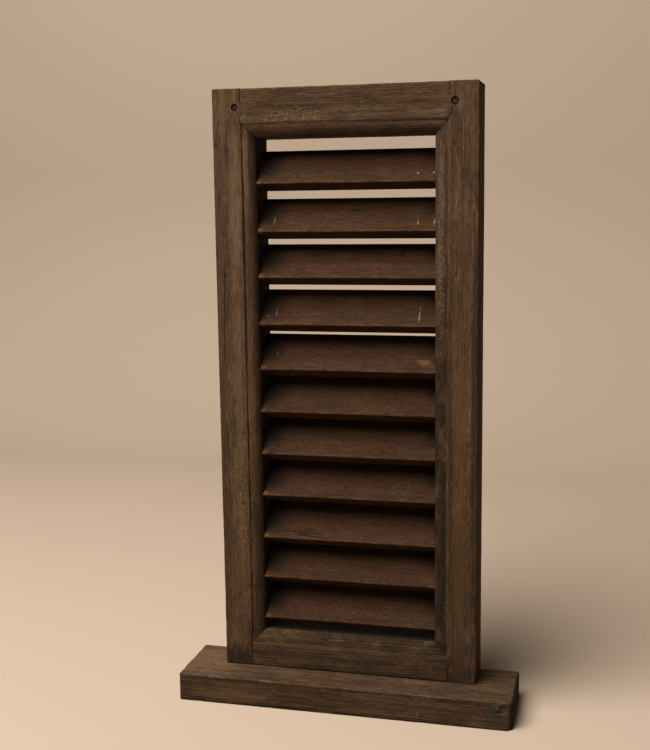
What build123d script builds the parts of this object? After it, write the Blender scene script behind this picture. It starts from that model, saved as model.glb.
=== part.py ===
from build123d import *
from math import cos, radians, sin
import os

# A louvred shutter leaf that stands on a wooden foot block. Two stiles and two rails are joined with
# pegged tenons and carry a worn moulding round the opening. Eleven fixed slats are let into sloping
# housings in the stiles. X runs to the right, the front faces -Y, and Z is up from the ground.

# Leaf: overall size and the sections of its members, in millimetres
panel_width = 270.0
panel_height = 606.0
frame_thickness = 45.0
stile_width = 44.0
top_rail_height = 49.2
bottom_rail_height = 40.0
edge_round = 2.0
inner_back_round = 0.4
corner_round = 2.5

# Moulding worked on the inner front edge of every member: a small quirk, then a worn flat round
moulding_width = 14.0
moulding_depth = 7.0
moulding_arris_round = 2.5
quirk_width = 1.2
quirk_depth = 1.0

# Slats: the upper three are thinner boards that lie flatter than the others, and the upper five are spaced
# wider. All were set by eye, so each stands a little above or below its even place.
slat_count = 11
upper_slats = 5
flat_slats = 3
flat_slat_board = 43.9
flat_slat_thickness = 12.8
flat_slat_slope = 49.5
slat_board = 44.8
slat_thickness = 13.2
slat_slope = 51.0
slat_setback = 6.0
slat_front_round = 1.5
slat_back_round = 1.2
top_slat_height = 511.1
upper_pitch = 47.1
lower_pitch = 44.9
slat_lifts = [0.8, -0.6, -0.2, -1.4, -1.0, -0.7, -0.9, -0.4, -1.6, -0.2, -0.3]
housing_depth = 8.0

# Tenons on the rails, and the pegs that lock the two upper ones
tenon_thickness = 14.0
tenon_length = 24.0
tenon_height = 26.0
top_tenon_drop = 10.0
bottom_tenon_rise = 7.0
peg_diameter = 7.6
peg_from_edge = 24.0
peg_from_top = 18.5
peg_recess = 1.2
peg_chamfer = 0.5

# Foot block
foot_length = 352.0
foot_depth = 82.0
foot_height = 30.0
foot_corner_round = 3.0
foot_worn_corner_round = 9.0
foot_top_round = 2.5
foot_bottom_round = 1.2
chip_radius = 11.0
chip_bite = 2.0
chip_below_top = 8.0

# Two screws from under the foot into the bottom rail
screw_offset = 70.0
screw_head_diameter = 11.0
screw_head_height = 4.0
screw_diameter = 5.0
screw_length = 46.0
screw_tip = 6.0
screw_point_diameter = 1.0
screw_slot_width = 1.4
screw_slot_depth = 1.8
screw_head_bevel = 1.6
counterbore_diameter = 15.0
counterbore_depth = 12.0
clearance_diameter = 5.6

# How far a cutting shape runs past the wood that it cuts
overcut = 1.0

# Places worked out from the sizes above
half_width = panel_width / 2
front_y = foot_depth / 2 - frame_thickness
back_y = foot_depth / 2
middle_y = (front_y + back_y) / 2
panel_bottom = foot_height
panel_top = foot_height + panel_height
shoulder_x = half_width - stile_width + moulding_width
opening_x = half_width - stile_width
opening_top = panel_top - top_rail_height
opening_bottom = panel_bottom + bottom_rail_height


def moulded_section(width):
    """Section of a stile or rail: x from its outer edge to its moulded edge, y from front to back."""
    flat_end = width - moulding_width
    round_start = (flat_end + quirk_width, quirk_depth)
    round_end = (width, moulding_depth)
    with BuildSketch() as section:
        with BuildLine():
            face = Line((0, 0), (flat_end, 0))
            Line(face @ 1, round_start)
            TangentArc(round_start, round_end, tangent=(1, 0))
            Polyline(round_end, (width, frame_thickness), (0, frame_thickness), (0, 0))
        make_face()
        outer = section.vertices().group_by(Axis.X)[0]
        inner_front, inner_back = section.vertices().group_by(Axis.X)[-1].sort_by(Axis.Y)
        fillet(outer, edge_round)
        fillet(inner_back, inner_back_round)
        fillet(inner_front, moulding_arris_round)
    return section.sketch


def through_block(points):
    """Block cut from an outline of (x, z) points, right through the thickness of the leaf."""
    outline = make_face(Polyline(*points, close=True))
    plane = Plane(origin=(0, back_y + overcut, 0), x_dir=(1, 0, 0), z_dir=(0, -1, 0))
    return extrude(plane * outline, amount=frame_thickness + 2 * overcut)


def leaf_outline():
    """The outside of the leaf in elevation, with its top corners worn round."""
    middle = (panel_top + panel_bottom) / 2
    plane = Plane(origin=(0, back_y + overcut, middle), x_dir=(1, 0, 0), z_dir=(0, -1, 0))
    outline = RectangleRounded(panel_width, panel_height, corner_round)
    square = Pos(0, -panel_height / 4) * Rectangle(panel_width, panel_height / 2)
    return extrude(plane * (outline + square), amount=frame_thickness + 2 * overcut)


def slat_height(index):
    """Height of a slat's upper front arris above the ground, the top slat being number 0."""
    upper_steps = min(index, upper_slats - 1)
    lower_steps = index - upper_steps
    even_height = top_slat_height - upper_steps * upper_pitch - lower_steps * lower_pitch
    return panel_bottom + even_height + slat_lifts[index]


def slat_board_size(index):
    """Width, thickness and slope of a slat's board."""
    if index < flat_slats:
        return flat_slat_board, flat_slat_thickness, radians(flat_slat_slope)
    return slat_board, slat_thickness, radians(slat_slope)


def slat_corners(index):
    """Corners of a slat's section, as (y, z) from its upper front arris."""
    width, thickness, slope = slat_board_size(index)
    rise = (width * cos(slope), width * sin(slope))
    drop = (thickness * sin(slope), -thickness * cos(slope))
    return [(0, 0), rise, (rise[0] + drop[0], rise[1] + drop[1]), drop]


def slat_plane(index):
    """Plane across the leaf at a slat's upper front arris, looking along X."""
    origin = (0, front_y + slat_setback, slat_height(index))
    return Plane(origin=origin, x_dir=(0, 1, 0), z_dir=(1, 0, 0))


def make_slat(index):
    """One slat: a sawn board with worn arrises, long enough to fill both housings."""
    half_length = opening_x + housing_depth
    board = make_face(Polyline(*slat_corners(index), close=True))
    slat = extrude(slat_plane(index) * board, amount=half_length, both=True)
    along = slat.edges().filter_by(Axis.X).sort_by(Axis.Y)
    slat = fillet(along[:2], slat_front_round)
    along = slat.edges().filter_by(Axis.X).sort_by(Axis.Y)
    return fillet(along[-2:], slat_back_round)


def housing_tool(index):
    """The square-cornered groove for both ends of a slat, cut from one long bar."""
    half_length = opening_x + housing_depth
    groove = make_face(Polyline(*slat_corners(index), close=True))
    return extrude(slat_plane(index) * groove, amount=half_length, both=True)


def tenon_block(side, low):
    """A tenon, or the mortise for it. side is -1 on the left and 1 on the right."""
    centre = (side * (shoulder_x + tenon_length / 2), middle_y, low + tenon_height / 2)
    return Pos(*centre) * Box(tenon_length, tenon_thickness, tenon_height)


def top_tenon_low():
    """Height of the underside of the upper tenons."""
    return panel_top - top_tenon_drop - tenon_height


def peg_place(side):
    """Middle of a peg, with its axis turned to run from front to back."""
    x = side * (half_width - peg_from_edge)
    return Pos(x, middle_y, panel_top - peg_from_top) * Rot(90, 0, 0)


def peg_hole(side):
    """The hole for a peg, bored right through the leaf."""
    return peg_place(side) * Cylinder(peg_diameter / 2, frame_thickness + 2 * overcut)


def make_left_stile():
    """Left stile: moulded inner edge, mitred where the rails meet it, with mortises and housings."""
    plane = Plane(origin=(-half_width, front_y, panel_bottom), x_dir=(1, 0, 0), z_dir=(0, 0, 1))
    stile = extrude(plane * moulded_section(stile_width), amount=panel_height) & leaf_outline()
    top_line = opening_top + moulding_width
    bottom_line = opening_bottom - moulding_width
    past_x = opening_x - overcut
    stile -= through_block([(-shoulder_x, panel_top + overcut), (-shoulder_x, top_line),
                            (-past_x, opening_top - overcut), (-past_x, panel_top + overcut)])
    stile -= through_block([(-shoulder_x, panel_bottom - overcut), (-shoulder_x, bottom_line),
                            (-past_x, opening_bottom + overcut), (-past_x, panel_bottom - overcut)])
    stile -= tenon_block(-1, top_tenon_low())
    stile -= tenon_block(-1, panel_bottom + bottom_tenon_rise)
    stile -= peg_hole(-1)
    for index in range(slat_count):
        stile -= housing_tool(index)
    return stile


def make_rail(height, outer_z, inward, tenon_low, pegged):
    """A rail between the shoulders, its moulding mitred at both ends, with a tenon each side."""
    plane = Plane(origin=(inward * shoulder_x, front_y, outer_z), x_dir=(0, 0, inward),
                  z_dir=(-inward, 0, 0))
    rail = extrude(plane * moulded_section(height), amount=2 * shoulder_x)
    mitre_start = outer_z + inward * (height - moulding_width - overcut)
    past_z = outer_z + inward * (height + overcut)
    for side in (-1, 1):
        outside_x = side * (shoulder_x + overcut)
        past_x = side * (opening_x - overcut)
        rail -= through_block([(outside_x, mitre_start), (past_x, past_z), (outside_x, past_z)])
        rail += tenon_block(side, tenon_low)
        if pegged:
            rail -= peg_hole(side)
    return rail


def make_bottom_rail():
    """Bottom rail: it stands on the foot and takes the two screws."""
    rail = make_rail(bottom_rail_height, panel_bottom, 1, panel_bottom + bottom_tenon_rise, False)
    for side in (-1, 1):
        rail -= screw_bar(side, screw_diameter)
    return rail


def make_peg(side):
    """A round peg with eased ends, driven a little below the face at the front."""
    length = frame_thickness - 2 * peg_recess
    peg = Cylinder(peg_diameter / 2, length)
    peg = chamfer(peg.edges().filter_by(GeomType.CIRCLE), peg_chamfer)
    return peg_place(side) * peg


def screw_bar(side, diameter):
    """The space a screw's shank takes, with its pointed end, from the floor of the counterbore up."""
    straight = screw_length - screw_tip
    shank = Pos(0, 0, straight / 2) * Cylinder(diameter / 2, straight)
    point = Cone(diameter / 2, screw_point_diameter / 2, screw_tip)
    point = Pos(0, 0, straight + screw_tip / 2) * point
    return Pos(side * screw_offset, middle_y, counterbore_depth) * (shank + point)


def make_screw(side):
    """A slotted wood screw with a bevelled head, seated on the floor of its counterbore."""
    head = Pos(0, 0, -screw_head_height / 2) * Cylinder(screw_head_diameter / 2, screw_head_height)
    head = chamfer(head.edges().group_by(Axis.Z)[0], screw_head_bevel)
    slot_z = -screw_head_height + screw_slot_depth / 2
    head -= Pos(0, 0, slot_z) * Box(screw_head_diameter + overcut, screw_slot_width, screw_slot_depth)
    place = Pos(side * screw_offset, middle_y, counterbore_depth)
    return place * head + screw_bar(side, screw_diameter)


def make_foot():
    """Foot block: a thick plank with rounded ends, its right front corner worn away and chipped."""
    worn_corner = (foot_length / 2, -foot_depth / 2)
    plan = Rectangle(foot_length, foot_depth)
    plan = fillet(plan.vertices().sort_by_distance(worn_corner)[:1], foot_worn_corner_round)
    plan = fillet(plan.vertices().sort_by_distance(worn_corner)[2:], foot_corner_round)
    foot = extrude(plan, amount=foot_height)
    foot = fillet(foot.faces().sort_by(Axis.Z)[-1].edges(), foot_top_round)
    foot = fillet(foot.faces().sort_by(Axis.Z)[0].edges(), foot_bottom_round)
    chip_x = foot_length / 2 - foot_worn_corner_round
    chip_y = -foot_depth / 2 - chip_radius + chip_bite
    foot -= Pos(chip_x, chip_y, foot_height - chip_below_top) * Sphere(chip_radius)
    for side in (-1, 1):
        bore = Cylinder(counterbore_diameter / 2, counterbore_depth * 2)
        hole = Cylinder(clearance_diameter / 2, 2 * (foot_height + overcut))
        foot -= Pos(side * screw_offset, middle_y, 0) * (bore + hole)
    return foot


left_stile = make_left_stile()
pieces = {
    "stile_left": left_stile,
    "stile_right": mirror(left_stile, about=Plane.YZ),
    "rail_top": make_rail(top_rail_height, panel_top, -1, top_tenon_low(), True),
    "rail_bottom": make_bottom_rail(),
    "peg_left": make_peg(-1),
    "peg_right": make_peg(1),
    "foot": make_foot(),
    "foot_screw_left": make_screw(-1),
    "foot_screw_right": make_screw(1),
}
for number in range(slat_count):
    pieces[f"slat_{number + 1:02d}"] = make_slat(number)

os.makedirs("parts", exist_ok=True)
for name, piece in pieces.items():
    export_step(piece, f"parts/{name}.step")
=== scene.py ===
"""Dresses a louvred shutter leaf and its foot as old, worn hardwood. Lengths are in metres."""

from math import cos, pi, radians, sin

import bmesh
import bpy
from mathutils import Matrix, Vector, noise


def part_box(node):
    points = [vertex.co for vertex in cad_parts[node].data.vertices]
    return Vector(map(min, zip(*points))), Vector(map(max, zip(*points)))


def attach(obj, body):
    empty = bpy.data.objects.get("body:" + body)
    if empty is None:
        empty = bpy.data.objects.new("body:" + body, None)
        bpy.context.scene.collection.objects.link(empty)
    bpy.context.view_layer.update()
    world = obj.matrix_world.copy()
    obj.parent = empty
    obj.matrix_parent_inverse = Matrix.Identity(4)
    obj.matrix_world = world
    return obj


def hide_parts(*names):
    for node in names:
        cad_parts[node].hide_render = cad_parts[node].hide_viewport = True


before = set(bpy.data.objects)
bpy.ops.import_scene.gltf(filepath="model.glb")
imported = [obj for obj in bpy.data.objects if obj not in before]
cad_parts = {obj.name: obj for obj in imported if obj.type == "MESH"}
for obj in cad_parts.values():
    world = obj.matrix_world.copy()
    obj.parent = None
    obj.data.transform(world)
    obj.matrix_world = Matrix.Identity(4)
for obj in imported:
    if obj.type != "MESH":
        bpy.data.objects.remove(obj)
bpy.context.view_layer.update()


# The foot: a thick plank of old hardwood laid flat, its grain running from end to end. Its arrises are
# rounded by handling, and its right front corner is broken away. Two screws hold it to the bottom rail.

class Field:
    """An output of a node. Arithmetic on it adds Math nodes, in a shader or in a geometry tree."""

    def __init__(self, bench, socket):
        self.bench = bench
        self.socket = socket

    def __add__(self, other):
        return self.bench.math("ADD", self, other)

    def __radd__(self, other):
        return self.bench.math("ADD", other, self)

    def __sub__(self, other):
        return self.bench.math("SUBTRACT", self, other)

    def __rsub__(self, other):
        return self.bench.math("SUBTRACT", other, self)

    def __mul__(self, other):
        return self.bench.math("MULTIPLY", self, other)

    def __rmul__(self, other):
        return self.bench.math("MULTIPLY", other, self)

    def __truediv__(self, other):
        return self.bench.math("DIVIDE", self, other)

    def __neg__(self):
        return self.bench.math("MULTIPLY", self, -1.0)

    def __abs__(self):
        return self.bench.math("ABSOLUTE", self)

    def smaller(self, other):
        return self.bench.math("MINIMUM", self, other)

    def larger(self, other):
        return self.bench.math("MAXIMUM", self, other)


class Bench:
    """Lays out the nodes of one tree. A node's settings are set first, then its sockets."""

    def __init__(self, tree):
        self.tree = tree

    def node(self, kind, settings={}, sockets={}, output=0):
        made = self.tree.nodes.new(kind)
        for name, value in settings.items():
            if name == "stops":
                self.set_stops(made.color_ramp, value)
            else:
                setattr(made, name, value)
        self.feed(made, sockets)
        return Field(self, made.outputs[output])

    def feed(self, made, sockets):
        """Sets a node's sockets, or links them to the fields they are given."""
        for name, value in sockets.items():
            if isinstance(value, Field):
                self.tree.links.new(value.socket, made.inputs[name])
            else:
                made.inputs[name].default_value = value

    def set_stops(self, ramp, stops):
        """Gives a colour ramp its (place, colour) stops."""
        while len(ramp.elements) < len(stops):
            ramp.elements.new(1.0)
        for element, (place, colour) in zip(ramp.elements, stops):
            element.position = place
            element.color = (*colour, 1.0)

    def math(self, operation, *values):
        return self.node("ShaderNodeMath", {"operation": operation}, dict(enumerate(values)))

    def vector(self, operation, *values, output=0):
        return self.node("ShaderNodeVectorMath", {"operation": operation}, dict(enumerate(values)), output)

    def stretched(self, vector, factor):
        return self.node("ShaderNodeVectorMath", {"operation": "SCALE"}, {0: vector, "Scale": factor})

    def parts(self, vector):
        """The X, Y and Z of a vector."""
        split = self.node("ShaderNodeSeparateXYZ", {}, {0: vector})
        return [Field(self, socket) for socket in split.socket.node.outputs]

    def whole(self, x, y, z):
        return self.node("ShaderNodeCombineXYZ", {}, {0: x, 1: y, 2: z})

    def rise(self, value, low, high):
        """0 below low, 1 above high, and a smooth step between them. low may be the larger."""
        settings = {"interpolation_type": "SMOOTHSTEP"}
        return self.node("ShaderNodeMapRange", settings, {"Value": value, "From Min": low, "From Max": high})

    def streaks(self, wood, size, detail=2.0, roughness=0.5, start=0.0):
        """Noise from 0 to 1 drawn out along the grain. size is the length, width and depth of a streak."""
        scaled = self.vector("MULTIPLY_ADD", wood, [1 / side for side in size], (start, start, start))
        sockets = {"Vector": scaled, "Scale": 1.0, "Detail": detail, "Roughness": roughness}
        return self.node("ShaderNodeTexNoise", {}, sockets)

    def painted(self, below, above, share):
        """One colour laid over another. share is how much of it covers."""
        below, above = (side if isinstance(side, Field) else (*side, 1.0) for side in (below, above))
        factor, first, second, colour_result = 0, 6, 7, 2
        sockets = {factor: share, first: below, second: above}
        return self.node("ShaderNodeMix", {"data_type": "RGBA"}, sockets, colour_result)


def new_finish(name):
    """A new material, and the bench for its nodes."""
    material = bpy.data.materials.new(name)
    material.use_nodes = True
    return material, Bench(material.node_tree)


def set_out(name, data):
    """A new object, set out in the scene at the origin."""
    made = bpy.data.objects.new(name, data)
    bpy.context.scene.collection.objects.link(made)
    return made


def grain_ridges(bench, wood):
    """Hard lines that stand up between softer wood. The relief and the colour both follow them."""
    lines = bench.streaks(wood, (0.070, 0.0019, 0.0019), detail=3.0, roughness=0.65, start=3.0)
    return bench.rise(lines, 0.32, 0.68)


def drying_checks(bench, wood):
    """Thin cracks along the grain, 1 in their middle and 0 away from them, in some stretches only."""
    line = abs(bench.streaks(wood, (0.34, 0.010, 0.010), detail=1.0, start=17.0) - 0.5)
    stretch = bench.streaks(wood, (0.09, 0.018, 0.018), detail=1.0, start=29.0)
    return bench.rise(line, 0.016, 0.003) * bench.rise(stretch, 0.60, 0.68)


def dents(bench, wood):
    """Small shallow knocks scattered over the faces, 1 in their middle."""
    scaled = bench.vector("MULTIPLY", wood, (45.0, 80.0, 80.0))
    near = bench.node("ShaderNodeTexVoronoi", {"feature": "SMOOTH_F1"},
                      {"Vector": scaled, "Smoothness": 0.3})
    some = bench.streaks(wood, (0.030, 0.030, 0.030), detail=0.0, start=41.0)
    return bench.rise(near, 0.28, 0.05) * bench.rise(some, 0.54, 0.64)


# Overrun is how far the grid runs past each end, and Rows, Columns and Layers are its counts. End Share of
# the rows stand in the End Zones, and Gather draws the columns and layers to the arrises. Arris is the least
# that an arris is rounded, Wear the most that is added to it, and Relief sets how deep the faces are sunk.
# Start is where in the tree the timber was cut, so that no two pieces have the same grain.
timber_inputs = {
    "Length": "Float", "Width": "Float", "Thickness": "Float", "Overrun": "Float",
    "Rows": "Int", "Columns": "Int", "Layers": "Int", "End Zone": "Float", "End Share": "Float",
    "Gather": "Float", "Arris": "Float", "Wear": "Float", "Relief": "Float", "Start": "Vector",
    "Sawn Form": "Object", "Finish": "Material"}
sharp_turn = radians(50)
same_spot = 1e-6


def timber_tree(name, more_inputs={}, carve=None):
    """A geometry tree for one worn length of timber: X along the grain, Y across its face, Z through it.

    A fine grid over a block is rounded at its arrises, carved, sunk by wear and grain, and then kept only
    where the sawn form has wood, so that it has that form's joints and holes.
    """
    tree = bpy.data.node_groups.new(name, "GeometryNodeTree")
    bench = Bench(tree)
    labels = {**timber_inputs, **more_inputs}
    for label, kind in labels.items():
        tree.interface.new_socket(label, in_out="INPUT", socket_type="NodeSocket" + kind)
    tree.interface.new_socket("Timber", in_out="OUTPUT", socket_type="NodeSocketGeometry")
    inputs = tree.nodes.new("NodeGroupInput").outputs
    size = {label: Field(bench, inputs[label]) for label in labels}

    def moved(shape, sockets):
        return bench.node("GeometryNodeSetPosition", {}, {"Geometry": shape, **sockets})

    def place():
        return bench.node("GeometryNodeInputPosition")

    def kept(shape, kind, name, value):
        return bench.node("GeometryNodeStoreNamedAttribute", {"data_type": kind},
                          {"Geometry": shape, "Name": name, "Value": value})

    # A block whose rows are closer together in the end zones, and whose columns gather at the arrises
    length = size["Length"] + 2.0 * size["Overrun"]
    block = bench.whole(length, size["Width"], size["Thickness"])
    counts = {"Vertices X": size["Rows"], "Vertices Y": size["Columns"], "Vertices Z": size["Layers"]}
    shape = bench.node("GeometryNodeMeshCube", {}, {"Size": block, **counts})
    x, y, z = bench.parts(place())
    half = length * 0.5
    middle = half - size["End Zone"]
    even = abs(x) / half
    share = 1.0 - size["End Share"]
    inner = even.smaller(share) / share * middle
    outer = (even - share).larger(0.0) / size["End Share"] * size["End Zone"]
    side = bench.math("SIGN", x)

    def gathered(across, whole_width):
        half_width = whole_width * 0.5
        drawn_out = bench.math("SINE", across / half_width * (pi / 2)) * half_width
        return across * (1.0 - size["Gather"]) + drawn_out * size["Gather"]

    across = gathered(y, size["Width"])
    through = gathered(z, size["Thickness"])
    shape = moved(shape, {"Position": bench.whole(side * (inner + outer), across, through)})

    # Arrises rounded more in some places than in others. arris is 0 on a flat face and 1 on the round
    wood = bench.vector("ADD", place(), size["Start"])
    worn = bench.streaks(wood, (0.030, 0.030, 0.030), detail=4.0, roughness=0.6, start=7.0)
    radius = size["Arris"] + size["Wear"] * bench.rise(worn, 0.42, 0.72)
    core = bench.vector("SUBTRACT", bench.stretched(block, 0.5), bench.whole(radius, radius, radius))
    near = bench.vector("MINIMUM", bench.vector("MAXIMUM", place(), bench.stretched(core, -1.0)), core)
    out = bench.vector("NORMALIZE", bench.vector("SUBTRACT", place(), near))
    steps = [abs(step) for step in bench.parts(out)]
    arris = bench.rise(steps[0].larger(steps[1]).larger(steps[2]), 0.995, 0.80)
    shape = kept(shape, "FLOAT", "arris", arris)
    shape = moved(shape, {"Position": bench.vector("ADD", near, bench.stretched(out, radius))})

    if carve:
        carved, hollow = carve(bench, place(), size)
        shape = kept(shape, "FLOAT", "hollow", hollow)
        shape = moved(shape, {"Position": carved})

    # Sunk below the sawn faces, by shares of Relief: slow waves, soft grain, fibres, cracks and knocks
    wood = bench.vector("ADD", place(), size["Start"])
    waves = bench.rise(bench.streaks(wood, (0.13, 0.020, 0.020), detail=2.0, start=11.0), 0.35, 0.70)
    fibres = bench.streaks(wood, (0.030, 0.0012, 0.0012), detail=1.0, start=13.0)
    depth = 0.03 + 0.16 * waves + 0.17 * (1.0 - grain_ridges(bench, wood)) + 0.08 * fibres
    depth = depth + 0.80 * drying_checks(bench, wood) + 0.35 * dents(bench, wood)
    sunk = bench.stretched(bench.node("GeometryNodeInputNormal"), depth * size["Relief"] * -1.0)
    shape = moved(shape, {"Offset": sunk})

    # Joints and holes come from the sawn form. Both solids go into the one socket
    form = bench.node("GeometryNodeObjectInfo", {}, {"Object": size["Sawn Form"]}, "Geometry")
    cut = bench.node("GeometryNodeMeshBoolean", {"operation": "INTERSECT", "solver": "MANIFOLD"},
                     {"Mesh 2": shape})
    tree.links.new(form.socket, cut.socket.node.inputs["Mesh 2"])
    shape = kept(cut, "FLOAT_VECTOR", "wood", bench.vector("ADD", place(), size["Start"]))
    shape = bench.node("GeometryNodeSetShadeSmooth", {}, {"Geometry": shape, "Shade Smooth": True})
    turn = bench.node("GeometryNodeInputMeshEdgeAngle")
    sharp = bench.node("FunctionNodeCompare", {"data_type": "FLOAT", "operation": "GREATER_THAN"},
                       {"A": turn, "B": sharp_turn})
    shape = bench.node("GeometryNodeSetShadeSmooth", {"domain": "EDGE"},
                       {"Geometry": shape, "Selection": sharp, "Shade Smooth": False})
    shape = bench.node("GeometryNodeRealizeInstances", {}, {"Geometry": shape})
    shape = bench.node("GeometryNodeSetMaterial", {}, {"Geometry": shape, "Material": size["Finish"]})
    tree.links.new(shape.socket, tree.nodes.new("NodeGroupOutput").inputs[0])
    return tree


def worn_timber(node, tree, place, values, fit=1.0):
    """Makes a worn piece for a sawn node. place takes the timber's own axes to where it stands.

    fit is how much of its length the sawn form keeps, so that an old joint stands a little open.
    """
    form = set_out(node + ".form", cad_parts[node].data.copy())
    mesh = bmesh.new()
    mesh.from_mesh(form.data)
    bmesh.ops.remove_doubles(mesh, verts=mesh.verts, dist=same_spot)
    mesh.to_mesh(form.data)
    mesh.free()
    form.data.transform(Matrix.Diagonal((fit, 1.0, 1.0, 1.0)) @ place.inverted())

    piece = set_out("worn_" + node, bpy.data.meshes.new(node))
    grown = piece.modifiers.new("timber", "NODES")
    grown.node_group = tree
    values = {**values, "Sawn Form": form}
    for item in tree.interface.items_tree:
        if item.in_out == "INPUT":
            grown[item.identifier] = values[item.name]
    seen = piece.evaluated_get(bpy.context.evaluated_depsgraph_get())
    piece.data = bpy.data.meshes.new_from_object(seen)
    piece.modifiers.remove(grown)
    piece.data.transform(place)
    bpy.data.objects.remove(form)
    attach(piece, "root")
    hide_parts(node)
    return piece


# Near-black for old dirt and cracks, and for painted shade in the quirk and under the foot's chip
grime_and_shade = (0.010, 0.008, 0.005)
raw_wood = (0.26, 0.175, 0.11)


def distance(bench, place, centre, reach):
    """0 at the centre of a mark, and 1 at the edge of its reach."""
    away = bench.vector("DIVIDE", bench.vector("SUBTRACT", place, centre), reach)
    return bench.vector("LENGTH", away, output="Value")


def timber_finish(name, dark, middle, light, warm, worn, marks, dirt_and_shade, threads_share=0.40, contrast=1.0):
    """Old stained hardwood. dark, middle and light are its streaks, warm is where the stain is redder, and
    worn is where hands rubbed it bare. A mark is a place, its reach, its strength and its colour. The
    function given for dirt and shade lays this piece's own dirt, painted shade, painted highlights and bare
    spots over the rest.
    """
    material, bench = new_finish(name)
    wood = bench.node("ShaderNodeAttribute", {"attribute_name": "wood"}, {}, "Vector")
    arris = bench.node("ShaderNodeAttribute", {"attribute_name": "arris"}, {}, "Fac")
    place = bench.node("ShaderNodeTexCoord", {}, {}, "Object")
    bands = bench.streaks(wood, (0.30, 0.010, 0.010), detail=3.0, roughness=0.6)
    ridges = grain_ridges(bench, wood)
    threads = bench.streaks(wood, (0.022, 0.0010, 0.0010), detail=5.0, roughness=0.75, start=5.0)
    patches = bench.streaks(wood, (0.040, 0.016, 0.016), detail=6.0, roughness=0.72, start=9.0)
    tone = 0.24 * bands + 0.06 * ridges + threads_share * threads + (0.70 - threads_share) * patches
    tone = (tone - 0.5) * contrast + 0.5
    stops = [(0.37, dark), (0.50, middle), (0.62, light)]
    colour = bench.node("ShaderNodeValToRGB", {"stops": stops}, {"Fac": tone})
    hue = bench.streaks(wood, (0.11, 0.007, 0.007), detail=4.0, roughness=0.65, start=33.0)
    colour = bench.painted(colour, warm, bench.rise(hue, 0.48, 0.66) * 0.60)

    # Thin light hairs of wood that lost their stain, thickest along the arrises, then pores and cracks
    hairs = bench.streaks(wood, (0.009, 0.00055, 0.00055), detail=2.0, roughness=0.6, start=71.0)
    bare = bench.rise(hairs + 0.35 * (patches - 0.5) + 0.10 * arris, 0.60, 0.74)
    colour = bench.painted(colour, worn, bare * 0.62)
    rubbed = arris * bench.rise(patches + 0.30 * threads, 0.56, 0.78)
    colour = bench.painted(colour, worn, rubbed * 0.60)
    pores = bench.streaks(wood, (0.007, 0.00050, 0.00050), detail=1.0, start=21.0)
    pores = bench.rise(pores, 0.56, 0.68)
    cracks = drying_checks(bench, wood)
    colour = bench.painted(colour, dark, pores * 0.70)
    colour = bench.painted(colour, grime_and_shade, cracks * 0.80)

    ragged = bench.streaks(wood, (0.022, 0.0045, 0.0045), detail=3.0, roughness=0.6, start=51.0)
    for centre, reach, strength, mark_colour in marks:
        far = distance(bench, place, centre, reach) + 1.8 * (ragged - 0.5) + 0.8 * (threads - 0.5)
        colour = bench.painted(colour, mark_colour, bench.rise(far, 1.0, 0.35) * strength)
    colour = dirt_and_shade(bench, place, colour)

    rough = 0.66 + 0.25 * threads - 0.12 * rubbed
    height = ridges * 0.30 + threads * 0.5 - pores * 0.6 - cracks
    bump = bench.node("ShaderNodeBump", {}, {"Strength": 0.8, "Distance": 0.0005, "Height": height})
    bench.feed(bench.tree.nodes["Principled BSDF"], {
        "Base Color": colour, "Roughness": rough, "IOR": 1.45, "Specular IOR Level": 0.08, "Normal": bump})
    return material


def extent(node):
    """Size and middle of a node."""
    low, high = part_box(node)
    return high - low, (high + low) / 2


foot_size, foot_middle = extent("foot")
foot_front = foot_middle.y - foot_size.y / 2
foot_right = foot_middle.x + foot_size.x / 2
foot_marks = [
    # The top, paler at the left
    ((-0.158, 0.000, foot_size.z), (0.048, 0.060, 0.012), 0.50, (0.170, 0.103, 0.058)),
    # Dirt along the front below its upper arris, and painted shade along its lower arris where it meets the
    # floor
    ((-0.125, foot_front, 0.0272), (0.075, 0.006, 0.0024), 0.60, grime_and_shade),
    ((-0.010, foot_front, 0.0268), (0.080, 0.006, 0.0022), 0.65, grime_and_shade),
    ((0.118, foot_front, 0.0268), (0.062, 0.006, 0.0022), 0.60, grime_and_shade),
    ((-0.090, foot_front, 0.0015), (0.110, 0.010, 0.0030), 0.60, grime_and_shade),
    ((0.080, foot_front, 0.0015), (0.110, 0.010, 0.0030), 0.60, grime_and_shade),
    # Redder and greyer patches of the front
    ((-0.115, foot_front, 0.0120), (0.055, 0.010, 0.0100), 0.55, (0.125, 0.068, 0.032)),
    ((-0.168, foot_front, 0.0150), (0.012, 0.010, 0.0140), 0.45, (0.040, 0.030, 0.022)),
    ((0.030, foot_front, 0.0060), (0.045, 0.010, 0.0030), 0.45, (0.110, 0.058, 0.028)),
    ((0.164, foot_front + 0.002, 0.015), (0.014, 0.012, 0.018), 0.70, (0.042, 0.037, 0.026)),
    # The chip at the right front corner, its raw wood pale with a painted shadow below it, and a pale knock
    ((0.160, foot_front, 0.0235), (0.0030, 0.004, 0.0010), 0.90, (0.150, 0.125, 0.090)),
    ((0.162, foot_front, 0.0195), (0.0050, 0.004, 0.0012), 0.90, grime_and_shade),
    ((0.080, foot_front, 0.0090), (0.0018, 0.004, 0.0060), 0.60, (0.130, 0.080, 0.055)),
]


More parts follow.
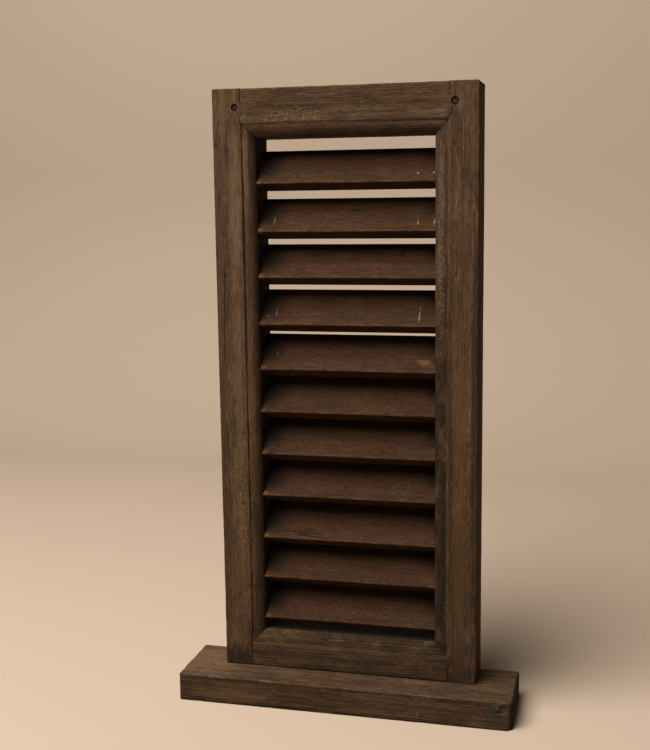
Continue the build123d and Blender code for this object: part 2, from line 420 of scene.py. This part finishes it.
def foot_shade_and_scuffs(bench, place, colour):
    """Painted shade over the right end, which faces away from the lamp, and light scuffs along the front."""
    x, y, z = bench.parts(place)
    uneven = bench.streaks(place, (0.003, 0.003, 0.003), detail=4.0, roughness=0.7, start=19.0)
    # Painted shade, near black, over the right end face
    shaded_end = bench.rise(x + 0.0016 * (uneven - 0.5), foot_right - 0.0030, foot_right - 0.0010)
    colour = bench.painted(colour, (0.006, 0.0045, 0.003), shaded_end * 0.92)
    scuffs = bench.streaks(place, (0.012, 0.0009, 0.0009), detail=3.0, roughness=0.7, start=47.0)
    where = bench.streaks(place, (0.050, 0.020, 0.010), detail=3.0, start=57.0)
    scuffs = bench.rise(scuffs, 0.58, 0.68) * bench.rise(where, 0.46, 0.62)
    return bench.painted(colour, (0.170, 0.122, 0.080), scuffs * 0.45)


foot_finish = timber_finish("foot_wood", dark=(0.024, 0.014, 0.008), middle=(0.062, 0.034, 0.018),
                            light=(0.118, 0.070, 0.038), warm=(0.090, 0.042, 0.018),
                            worn=(0.160, 0.104, 0.062), marks=foot_marks, dirt_and_shade=foot_shade_and_scuffs, contrast=1.15)
foot = worn_timber("foot", timber_tree("foot_plank"), Matrix.Translation(foot_middle), {
    "Length": foot_size.x, "Width": foot_size.y, "Thickness": foot_size.z, "Overrun": 0.0,
    "Rows": 170, "Columns": 88, "Layers": 36, "End Zone": 0.024, "End Share": 0.22, "Gather": 0.5,
    "Arris": 0.0015, "Wear": 0.0016, "Relief": 0.0015, "Start": (0.31, 0.12, 0.05), "Finish": foot_finish})


# The frame: two stiles and two rails of the same dark hardwood, tenoned and pegged. A worn moulding runs
# round the inside of the front, behind a fine quirk, and is mitred at the four corners.

moulding_width = 0.014
moulding_depth = 0.007
quirk_width = 0.0012
quirk_depth = 0.0010
worn_quirk_depth = quirk_depth * 1.04
groove_depth = 0.00045
groove_middle = 0.0009
groove_reach = 0.0012


def carve_moulding(bench, place, size):
    """Sinks the front of a member along its moulded edge, which is at +Y or -Y by the sign of Moulded.

    The front face is sunk by the whole depth and the back by none. Softness is how far wear has drawn out
    the quirk's step, and Groove is the depth of the line that still shows along it.
    """
    x, y, z = bench.parts(place)
    past_line = size["Moulded"] * y - (size["Width"] * 0.5 - moulding_width)
    run = moulding_width - quirk_width
    drop = moulding_depth - quirk_depth
    bend = (run * run + drop * drop) / (2 * drop)
    past_quirk = (past_line - quirk_width).larger(0.0)
    inside = (bend * bend - past_quirk * past_quirk).larger(0.0)
    arc = bend - bench.math("SQRT", inside)
    softness = size["Softness"]
    step = bench.rise(past_line, -softness, quirk_width + 0.2 * softness) * worn_quirk_depth
    groove = bench.rise(abs(past_line - groove_middle), groove_reach, 0.0)
    depth = step + arc + groove * size["Groove"]
    share = z / size["Thickness"] + 0.5
    hollow = groove * bench.rise(share, 0.6, 0.8)
    return bench.whole(x, y, z - depth * share), hollow


leaf_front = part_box("stile_left")[0].y
opening_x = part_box("stile_right")[0].x
opening_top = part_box("rail_top")[0].z
opening_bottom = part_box("rail_bottom")[1].z
shoulder_x = opening_x + moulding_width

tan = (0.150, 0.088, 0.048)
orange = (0.120, 0.057, 0.024)
pink = (0.160, 0.098, 0.070)
leaf_marks = [
    # Stain rubbed thin beside the left quirk and on the left moulding
    ((-0.1125, leaf_front, 0.520), (0.0080, 0.020, 0.110), 0.70, tan),
    ((-0.1140, leaf_front, 0.350), (0.0070, 0.020, 0.120), 0.45, tan),
    ((-0.1240, leaf_front, 0.610), (0.0050, 0.020, 0.045), 0.35, tan),
    ((-0.1010, leaf_front, 0.560), (0.0035, 0.020, 0.060), 0.65, (0.165, 0.090, 0.044)),
    # A redder edge at the far left, darker below
    ((-0.1310, leaf_front, 0.520), (0.0080, 0.020, 0.110), 0.48, (0.062, 0.035, 0.025)),
    ((-0.1305, leaf_front, 0.250), (0.0085, 0.020, 0.190), 0.42, (0.048, 0.031, 0.021)),
    ((-0.1160, leaf_front, 0.190), (0.0060, 0.020, 0.120), 0.40, (0.120, 0.066, 0.032)),
    # Damp and dirt where the stiles stand on the foot
    ((-0.1200, leaf_front, 0.036), (0.0260, 0.030, 0.020), 0.75, (0.020, 0.015, 0.010)),
    ((0.1200, leaf_front, 0.034), (0.0260, 0.030, 0.016), 0.55, (0.022, 0.015, 0.010)),
    ((0.0000, leaf_front, 0.033), (0.1100, 0.030, 0.004), 0.60, (0.022, 0.015, 0.010)),
    # The right stile: orange where the stain wore through, dark along its outer arris, and painted shade
    # over its outer side face
    ((0.1170, leaf_front, 0.170), (0.0080, 0.020, 0.180), 0.62, orange),
    ((0.1180, leaf_front, 0.330), (0.0075, 0.020, 0.100), 0.50, orange),
    ((0.1220, leaf_front, 0.480), (0.0040, 0.020, 0.080), 0.35, (0.105, 0.055, 0.032)),
    ((0.1315, leaf_front, 0.300), (0.0042, 0.010, 0.360), 0.70, (0.024, 0.015, 0.010)),
    ((0.1070, leaf_front, 0.260), (0.0038, 0.010, 0.260), 0.60, (0.027, 0.017, 0.010)),
    # Painted shade over the right stile's outer side face, which faces away from the lamp
    ((0.1360, 0.020, 0.330), (0.0026, 0.060, 0.420), 0.45, (0.022, 0.014, 0.009)),
    ((0.1190, leaf_front, 0.050), (0.0200, 0.020, 0.030), 0.40, (0.034, 0.021, 0.014)),
    ((0.1200, leaf_front, 0.120), (0.0300, 0.020, 0.130), 0.32, (0.030, 0.018, 0.010)),
    # The right moulding: pinkish bare streaks above, dirt below
    ((0.0985, leaf_front, 0.545), (0.0040, 0.020, 0.060), 0.60, pink),
    ((0.0960, leaf_front, 0.470), (0.0030, 0.020, 0.060), 0.50, pink),
    ((0.0990, leaf_front, 0.170), (0.0060, 0.020, 0.150), 0.60, (0.018, 0.014, 0.008)),
    # The top rail and the stile beside it: bare spots by the right peg, and a painted highlight along the
    # right shoulder
    ((0.0960, leaf_front, 0.609), (0.0110, 0.020, 0.003), 0.60, (0.165, 0.092, 0.046)),
    ((0.1160, leaf_front, 0.612), (0.0030, 0.020, 0.012), 0.45, (0.150, 0.088, 0.050)),
    # A painted highlight: a pale line along the right shoulder's edge
    ((0.1052, leaf_front, 0.622), (0.0008, 0.020, 0.016), 0.70, (0.170, 0.112, 0.070)),
    # Small knocks: a saw nick at the left edge, a nail hole, chips on the moulding
    ((-0.1330, leaf_front, 0.5810), (0.0070, 0.020, 0.0010), 0.90, grime_and_shade),
    ((0.0976, leaf_front, 0.3728), (0.0022, 0.020, 0.0016), 0.62, raw_wood),
    ((0.0975, leaf_front, 0.5929), (0.0012, 0.020, 0.0012), 0.62, raw_wood),
    ((0.0914, leaf_front, 0.1440), (0.0010, 0.020, 0.0020), 0.60, raw_wood),
]

# Each is the middle of a patch, its reach, and how bare it is
rough_places = [
    # The top rail
    ((-0.0500, leaf_front, 0.6065), (0.0460, 0.020, 0.010), 0.60),
    # The left stile
    ((-0.1130, leaf_front, 0.2150), (0.0120, 0.020, 0.100), 0.55),
    ((-0.1140, leaf_front, 0.4800), (0.0090, 0.020, 0.060), 0.35),
    # The right moulding
    ((0.0970, leaf_front, 0.4700), (0.0060, 0.020, 0.130), 0.55),
    ((0.0960, leaf_front, 0.2500), (0.0050, 0.020, 0.120), 0.20),
]

# Each is the two ends of a crack, in X and Z, and its half width
splits = [
    # From the left peg down to the mitre, and along it
    ((-0.1078, 0.6130), (-0.1053, 0.6018), 0.0008),
    ((-0.1053, 0.6018), (-0.0912, 0.5870), 0.0008),
    # The right shoulder, round the peg, and the right mitre
    ((0.1054, 0.6360), (0.1068, 0.6135), 0.0006),
    ((0.1080, 0.6114), (0.1084, 0.6092), 0.0015),
    ((0.1084, 0.6095), (0.1050, 0.6005), 0.0008),
    ((0.1050, 0.6005), (0.0912, 0.5868), 0.0011),
    # The left shoulders, above and below
    ((-0.1052, 0.6360), (-0.1052, 0.6215), 0.0008),
    ((-0.1052, 0.0600), (-0.1052, 0.0300), 0.0007),
]


def joint_dirt_and_shade(bench, place, colour):
    """Old dirt in the open joints and low on the mouldings, rough pale specks, and painted shade in the
    quirk, on the stiles' faces round the opening and on parts of the mouldings.
    """
    hollow = bench.node("ShaderNodeAttribute", {"attribute_name": "hollow"}, {}, "Fac")
    broken = bench.streaks(place, (0.012, 0.012, 0.030), detail=4.0, roughness=0.65, start=61.0)
    blotch = bench.streaks(place, (0.024, 0.014, 0.030), detail=6.0, roughness=0.75, start=83.0)
    x, y, z = bench.parts(place)
    aside = abs(x)

    # The side mouldings end at the mitres, and the rails at their shoulders
    low_mitre = opening_bottom + opening_x
    high_mitre = opening_top - opening_x
    between = bench.rise(z + aside, low_mitre - 0.002, low_mitre + 0.002)
    between = between * bench.rise(z - aside, high_mitre + 0.0004, high_mitre - 0.0008)
    in_moulding = bench.rise(aside, opening_x - 0.001, opening_x) * between
    in_moulding = in_moulding * bench.rise(aside, shoulder_x, shoulder_x - 0.003)
    in_right_moulding = in_moulding * bench.rise(x, 0.0, 0.001)
    in_left_moulding = in_moulding * bench.rise(x, 0.0, -0.001)
    in_a_rail = bench.rise(aside, shoulder_x + 0.0004, shoulder_x)
    in_bottom_rail = in_a_rail * bench.rise(z, opening_bottom + 0.006, opening_bottom)
    in_top_rail = in_a_rail * bench.rise(z, opening_top - 0.0028, opening_top + 0.0012)

    # Dirtier low down on the side mouldings. Painted shade along the left moulding's inner edge, which faces
    # away from the lamp, and a painted shadow of the lowest slat along the top of the bottom rail's
    # moulding, which is also darker towards the right. The top rail's moulding is darker, most towards the
    # opening
    inner_edge = bench.rise(-x, opening_x + 0.0075, opening_x + 0.001)
    low_edge = bench.rise(z, opening_bottom - moulding_width, opening_bottom - 0.002)
    top_edge = bench.rise(z, opening_top + 0.0132, opening_top + 0.0032)
    dirt_and_shade_share = in_right_moulding * (0.50 + 0.47 * bench.rise(z, 0.50, 0.28))
    dirt_and_shade_share = dirt_and_shade_share + in_left_moulding * (0.05 + 0.50 * bench.rise(z, 0.34, 0.12))
    # Painted shade at the left moulding's inner edge
    dirt_and_shade_share = dirt_and_shade_share.larger(in_left_moulding * inner_edge * 0.85)
    # Painted shadow of the lowest slat along the top of the bottom rail's moulding
    dirt_and_shade_share = dirt_and_shade_share.larger(in_bottom_rail * (0.22 + 0.25 * bench.rise(x, -0.08, 0.04) + 0.42 * low_edge))
    dirt_and_shade_share = dirt_and_shade_share.larger(in_top_rail * (0.14 + 0.18 * top_edge))
    colour = bench.painted(colour, (0.016, 0.0105, 0.006), dirt_and_shade_share * bench.rise(blotch, 0.24, 0.56))

    # Painted shade on the stiles' inner faces round the opening, behind the moulding
    behind = bench.rise(y, leaf_front + 0.0065, leaf_front + 0.011)
    beside = bench.rise(aside, opening_x + 0.0030, opening_x + 0.0010)
    in_opening = bench.rise(z, opening_bottom - 0.003, opening_bottom - 0.001)
    in_opening = in_opening * bench.rise(z, opening_top + 0.003, opening_top + 0.001)
    colour = bench.painted(colour, (0.012, 0.008, 0.005), beside * behind * in_opening * 0.85)

    # Painted shade as a dark line in the quirk on the left stile and the right part of the top rail, where
    # its step faces away from the lamp
    on_rail = bench.rise(x, 0.020, 0.055) * bench.rise(x, shoulder_x - 0.0005, shoulder_x - 0.0015)
    quirk_in_shade = bench.rise(x, -opening_x, -opening_x - 0.001) + on_rail * bench.rise(z, 0.30, 0.31)
    colour = bench.painted(colour, grime_and_shade, hollow * quirk_in_shade * bench.rise(broken, 0.40, 0.55) * 0.90)

    # Rough sawn patches where the stain missed the raised specks
    specks = bench.node("ShaderNodeTexNoise", {}, {"Vector": place, "Scale": 620.0, "Detail": 2.0})
    patchy = bench.rise(blotch, 0.52, 0.70) * 0.40
    for centre, reach, strength in rough_places:
        far = distance(bench, place, centre, reach) + 1.2 * (blotch - 0.5)
        patchy = patchy.larger(bench.rise(far, 1.0, 0.4) * strength)
    colour = bench.painted(colour, (0.200, 0.122, 0.066), bench.rise(specks, 0.50, 0.64) * patchy)

    # Cracks on the front. Each is dark where a point is near its line, which wanders a little
    flat = bench.whole(x, 0.0, z)
    on_front = bench.rise(y, leaf_front + 0.012, leaf_front + 0.006)
    wander = abs(broken - 0.5) * 0.0016
    for (start_x, start_z), (end_x, end_z), half_width in splits:
        start = Vector((start_x, 0.0, start_z))
        run = Vector((end_x, 0.0, end_z)) - start
        from_start = bench.vector("SUBTRACT", flat, start)
        along = bench.vector("DOT_PRODUCT", from_start, run / run.length_squared, output="Value")
        near = bench.stretched(run, along.larger(0.0).smaller(1.0))
        off_line = bench.vector("SUBTRACT", from_start, near)
        away = bench.vector("LENGTH", off_line, output="Value") + wander
        split = bench.rise(away, half_width, half_width * 0.3) * on_front
        colour = bench.painted(colour, grime_and_shade, split * 0.9)
    return colour


member_tree = timber_tree("frame_member", {"Moulded": "Float", "Softness": "Float", "Groove": "Float"},
                          carve_moulding)
frame_finish = timber_finish("frame_wood", dark=(0.026, 0.015, 0.009), middle=(0.078, 0.042, 0.021),
                             light=(0.138, 0.080, 0.043), warm=(0.108, 0.050, 0.021),
                             worn=(0.190, 0.120, 0.068), marks=leaf_marks, dirt_and_shade=joint_dirt_and_shade)


def upright(x, y, z):
    """Stands a member on end: its grain up, its face to the front, its Y towards -X."""
    turn = Matrix(((0, -1, 0), (0, 0, -1), (1, 0, 0))).to_4x4()
    return Matrix.Translation((x, y, z)) @ turn


def level(x, y, z):
    """Lays a member across: its grain to the right, its face to the front, its Y up."""
    return Matrix.Translation((x, y, z)) @ Matrix.Rotation(pi / 2, 4, "X")


for node, side, start, softness, groove in (("stile_left", -1.0, (0.0, 0.0, 0.0), 0.0, groove_depth),
                                            ("stile_right", 1.0, (0.9, 0.35, 0.21), 0.0026, 0.0)):
    size, middle = extent(node)
    piece = worn_timber(node, member_tree, upright(*middle), {
        "Length": size.z, "Width": size.x, "Thickness": size.y, "Overrun": 0.0016,
        "Rows": 240, "Columns": 96, "Layers": 34, "End Zone": 0.030, "End Share": 0.14, "Gather": 0.25,
        "Arris": 0.0012, "Wear": 0.0012, "Relief": 0.0006, "Start": start, "Finish": frame_finish,
        "Moulded": side, "Softness": softness, "Groove": groove})

rail_fit = 0.9988
for node, side, start, softness, groove in (("rail_top", -1.0, (0.4, 0.61, 0.33), 0.0022, 0.0),
                                            ("rail_bottom", 1.0, (1.3, 0.18, 0.47), 0.0026, 0.0)):
    size, middle = extent(node)
    piece = worn_timber(node, member_tree, level(*middle), {
        "Length": size.x, "Width": size.z, "Thickness": size.y, "Overrun": 0.0016,
        "Rows": 130, "Columns": 104, "Layers": 34, "End Zone": 0.042, "End Share": 0.40, "Gather": 0.25,
        "Arris": 0.0012, "Wear": 0.0010, "Relief": 0.0006, "Start": start, "Finish": frame_finish,
        "Moulded": side, "Softness": softness, "Groove": groove}, rail_fit)


# The slats: eleven thin boards of dark-stained hardwood, each let into a sloping housing at both ends. The
# upper three are a little slighter and lie flatter. The front arrises are worn, the stain is thin there, and
# a painted highlight runs along them.

upper_slats = 3
upper_shape = (radians(49.5), 0.0439, 0.0128)
lower_shape = (radians(51.0), 0.0448, 0.0132)
grain_step = (0.53, 0.11, 0.29)
slat_marks = [
    # The first slat: two chips near its right end
    ((0.0731, 0.009, 0.5497), (0.0016, 0.050, 0.0014), 0.90, raw_wood),
    ((0.0889, 0.009, 0.5504), (0.0018, 0.050, 0.0018), 0.70, raw_wood),
    # The second: a scratch near each end, and a chip at each end
    ((-0.0755, 0.012, 0.5050), (0.0012, 0.050, 0.0050), 0.62, raw_wood),
    ((0.0730, 0.008, 0.5010), (0.0012, 0.050, 0.0042), 0.62, raw_wood),
    ((-0.0915, 0.009, 0.5010), (0.0022, 0.050, 0.0018), 0.62, raw_wood),
    ((0.0895, 0.009, 0.5018), (0.0016, 0.050, 0.0036), 0.62, raw_wood),
    # The third: a dark spot near its back edge
    ((0.0550, 0.022, 0.4700), (0.0045, 0.050, 0.0060), 0.70, grime_and_shade),
    # The fourth: a scratch near each end, and a fleck
    ((-0.0752, 0.012, 0.4110), (0.0010, 0.050, 0.0055), 0.62, raw_wood),
    ((-0.0840, 0.009, 0.4067), (0.0030, 0.050, 0.0010), 0.60, raw_wood),
    ((0.0742, 0.011, 0.4095), (0.0009, 0.050, 0.0090), 0.62, raw_wood),
    # The fifth: a short scratch at the left, and a patch rubbed orange at the right
    ((-0.0760, 0.013, 0.3665), (0.0010, 0.050, 0.0022), 0.62, raw_wood),
    ((0.0805, 0.009, 0.3612), (0.0110, 0.050, 0.0034), 0.55, (0.170, 0.085, 0.040)),
]


def slat_shadow_and_worn_highlights(bench, place, colour):
    """Painted shadow of the stiles over the boards' ends at the back, widest at the left, and pale wood at
    the left tips and front edge, partly worn bare and partly painted highlight.
    """
    x, y, z = bench.parts(place)
    # Painted shadow cast by the stiles on the boards' ends, reaching further at the left
    left = bench.rise(-x, opening_x - 0.035, opening_x - 0.005) * bench.rise(y, 0.001, 0.015)
    right = bench.rise(x, opening_x - 0.020, opening_x) * bench.rise(y, 0.006, 0.022)
    colour = bench.painted(colour, (0.006, 0.004, 0.0025), left.larger(right * 0.8) * 0.92)
    ragged = bench.streaks(place, (0.016, 0.004, 0.004), detail=6.0, roughness=0.75, start=93.0)
    # Pale left tips and front edge: worn bare wood with a painted highlight
    tips = bench.rise(-x, opening_x - 0.008, opening_x - 0.001) * bench.rise(y, 0.0065, 0.0035)
    edge = bench.rise(y, 0.0042, 0.0030) * bench.rise(ragged, 0.42, 0.66)
    worn_and_highlit = (tips * bench.rise(ragged, 0.36, 0.56)).larger(edge * 0.42)
    return bench.painted(colour, (0.150, 0.082, 0.040), worn_and_highlit * 0.75)


slat_tree = timber_tree("slat_board")
slat_finish = timber_finish("slat_wood", dark=(0.022, 0.010, 0.0048), middle=(0.042, 0.0195, 0.0092),
                            light=(0.068, 0.033, 0.0165), warm=(0.056, 0.0235, 0.0098),
                            worn=(0.100, 0.058, 0.032), marks=slat_marks, dirt_and_shade=slat_shadow_and_worn_highlights,
                            threads_share=0.26, contrast=0.62)
slat_nodes = sorted(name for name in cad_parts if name.startswith("slat_"))
for number, node in enumerate(slat_nodes):
    size, middle = extent(node)
    start = tuple(step * number for step in grain_step)
    slope, board, thickness = upper_shape if number < upper_slats else lower_shape
    place = Matrix.Translation(middle) @ Matrix.Rotation(slope, 4, "X")
    piece = worn_timber(node, slat_tree, place, {
        "Length": size.x, "Width": board, "Thickness": thickness, "Overrun": 0.001,
        "Rows": 100, "Columns": 50, "Layers": 17, "End Zone": 0.010, "End Share": 0.06, "Gather": 0.7,
        "Arris": 0.0008, "Wear": 0.0005, "Relief": 0.0004, "Start": start, "Finish": slat_finish})


# The pegs: short round pins of darker wood, driven through the upper joints until their ends sit below
# the face. Their ends are crushed a little by the mallet and black with old dirt.

peg_sides = 40
peg_steps = 12
peg_clearance = 0.0001
peg_eased = 0.0006
end_shares = (0.12, 0.3, 0.5, 0.7, 0.85)
crush_depth = 0.0003
crush_scale = 900.0
peg_finish, pegs = new_finish("peg_wood")
peg_place = pegs.node("ShaderNodeTexCoord", {}, {}, "Object")
peg_grain = pegs.node("ShaderNodeTexNoise", {}, {"Vector": peg_place, "Scale": 700.0, "Detail": 4.0})
peg_shades = [(0.35, (0.012, 0.007, 0.0045)), (0.70, (0.052, 0.027, 0.015))]
peg_shade = pegs.node("ShaderNodeValToRGB", {"stops": peg_shades}, {"Fac": peg_grain})
peg_bump = pegs.node("ShaderNodeBump", {}, {"Strength": 0.6, "Distance": 0.0004, "Height": peg_grain})
pegs.feed(pegs.tree.nodes["Principled BSDF"], {
    "Base Color": peg_shade, "Roughness": 0.85, "Specular IOR Level": 0.15, "Normal": peg_bump})
for node in ("peg_left", "peg_right"):
    size, middle = extent(node)
    outside = size.x / 2 - peg_clearance
    half = size.y / 2 - peg_clearance
    front_end = [(outside * share, half) for share in end_shares]
    front_end += [(outside - peg_eased, half), (outside, half - peg_eased)]
    shank = [(outside, half * (1 - 2 * step / peg_steps)) for step in range(1, peg_steps)]
    back_end = [(ring, -along) for ring, along in reversed(front_end)]
    mesh = bmesh.new()
    rings = []
    for ring, along in front_end + shank + back_end:
        on_end = abs(along) > half - peg_eased / 2
        inward = Vector((0, along, 0)).normalized() if on_end else Vector()
        verts = []
        for step in range(peg_sides):
            turn = 2 * pi * step / peg_sides
            spot = middle + Vector((ring * cos(turn), -along, ring * sin(turn)))
            crushed = crush_depth * (0.5 + 0.5 * noise.noise(spot * crush_scale))
            verts.append(mesh.verts.new(spot + inward * crushed))
        rings.append(verts)
    for first, second in zip(rings, rings[1:]):
        for step in range(peg_sides):
            after = (step + 1) % peg_sides
            mesh.faces.new((first[step], first[after], second[after], second[step]))
    mesh.faces.new(rings[0][::-1])
    mesh.faces.new(rings[-1])
    bmesh.ops.recalc_face_normals(mesh, faces=mesh.faces)
    for face in mesh.faces:
        face.smooth = len(face.verts) == 4
    peg_data = bpy.data.meshes.new(node)
    mesh.to_mesh(peg_data)
    mesh.free()
    peg_data.materials.append(peg_finish)
    peg = set_out("worn_" + node, peg_data)
    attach(peg, "root")
    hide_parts(node)


# The foot's screws: dull zinc-plated steel with slotted heads, seated in counterbores under the foot. They
# pass up through it into the bottom rail. Their sawn forms stay, with a finish of their own.

screw_finish, metal = new_finish("screw_steel")
screw_place = metal.node("ShaderNodeTexCoord", {}, {}, "Object")
spots = metal.node("ShaderNodeTexNoise", {}, {"Vector": screw_place, "Scale": 700.0, "Detail": 4.0})
zinc_shades = [(0.35, (0.16, 0.13, 0.10)), (0.65, (0.42, 0.40, 0.37))]
zinc = metal.node("ShaderNodeValToRGB", {"stops": zinc_shades}, {"Fac": spots})
metal.feed(metal.tree.nodes["Principled BSDF"], {
    "Base Color": zinc, "Metallic": 1.0, "Roughness": 0.35 + 0.3 * spots})
for node in ("foot_screw_left", "foot_screw_right"):
    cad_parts[node].data.materials.clear()
    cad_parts[node].data.materials.append(screw_finish)


# The stage: a pale floor that turns up into a backdrop, one large soft lamp high at the front left, and a
# faint surround. The camera sees the paper pale, but the paper throws little light back on the object.

sweep_radius = 0.6
sweep_steps = 12
backdrop_y = 1.6
backdrop_top = 3.2
floor_front = -3.0
stage_half = 4.0
outline = [(floor_front, 0.0)]
for step in range(sweep_steps + 1):
    turn = step / sweep_steps * pi / 2
    outline.append((backdrop_y - sweep_radius * (1 - sin(turn)), sweep_radius * (1 - cos(turn))))
outline.append((backdrop_y, backdrop_top))
floor_mesh = bmesh.new()
rows = [[floor_mesh.verts.new((x, y, z)) for x in (-stage_half, stage_half)] for y, z in outline]
for low, high in zip(rows, rows[1:]):
    floor_mesh.faces.new((low[0], low[1], high[1], high[0]))
floor_data = bpy.data.meshes.new("floor")
floor_mesh.to_mesh(floor_data)
floor_mesh.free()
floor = set_out("floor", floor_data)
for face in floor_data.polygons:
    face.use_smooth = True


def seen_directly(bench):
    """1 for light that goes straight to the camera, or to it by a reflection or through glass."""
    path = bench.node("ShaderNodeLightPath").socket.node.outputs
    camera_ray, glossy_ray, through_ray = (
        Field(bench, path[name]) for name in ("Is Camera Ray", "Is Glossy Ray", "Is Transmission Ray"))
    return camera_ray.larger(glossy_ray).larger(through_ray)


paper_seen = (0.50, 0.385, 0.285)
paper_bounce = (0.18, 0.14, 0.10)
paper, sheet = new_finish("paper")
paper_colour = sheet.painted(paper_bounce, paper_seen, seen_directly(sheet))
sheet.feed(sheet.tree.nodes["Principled BSDF"], {"Base Color": paper_colour, "Roughness": 0.9})
floor_data.materials.append(paper)

leaf_middle = Vector((0, 0, 0.33))
lamp_distance = 2.5
lamp_direction = Vector((-0.329, -0.452, 0.829))
key = bpy.data.lights.new("key", "AREA")
key.shape = "DISK"
key.size = 2.1
key.energy = 132.0
key.color = (1.0, 0.97, 0.93)
key_lamp = set_out("key", key)
key_lamp.location = leaf_middle + lamp_distance * lamp_direction
key_lamp.rotation_euler = (leaf_middle - key_lamp.location).to_track_quat("-Z", "Y").to_euler()

world = bpy.data.worlds.new("surround")
world.use_nodes = True
air = Bench(world.node_tree)
faint_light = (0.04, 0.037, 0.034)
air.feed(world.node_tree.nodes["Background"], {
    "Color": air.painted(faint_light, paper_seen, seen_directly(air))})
bpy.context.scene.world = world
bpy.context.scene.view_settings.view_transform = "Standard"


# The camera stands a little to the right of the leaf and above its middle, and looks slightly down. Its lens
# is set by a focal length in pixels of the picture, whose longer side is its height.

image_height = 750
focal_pixels = 1151.5
sensor = 36.0
camera_place = (0.26367, -1.12826, 0.52655)
yaw, pitch, roll = radians(14.193), radians(8.735), radians(-0.7515)
ahead = Vector((-sin(yaw) * cos(pitch), cos(yaw) * cos(pitch), -sin(pitch)))
right = Vector((cos(yaw), sin(yaw), 0.0))
up = right.cross(ahead)
tilted_right = right * cos(roll) + up * sin(roll)
tilted_up = up * cos(roll) - right * sin(roll)
lens = bpy.data.cameras.new("camera")
lens.sensor_width = sensor
lens.lens = focal_pixels * sensor / image_height
camera = set_out("camera", lens)
turned = Matrix((tilted_right, tilted_up, -ahead)).transposed().to_4x4()
camera.matrix_world = Matrix.Translation(camera_place) @ turned
bpy.context.scene.camera = camera
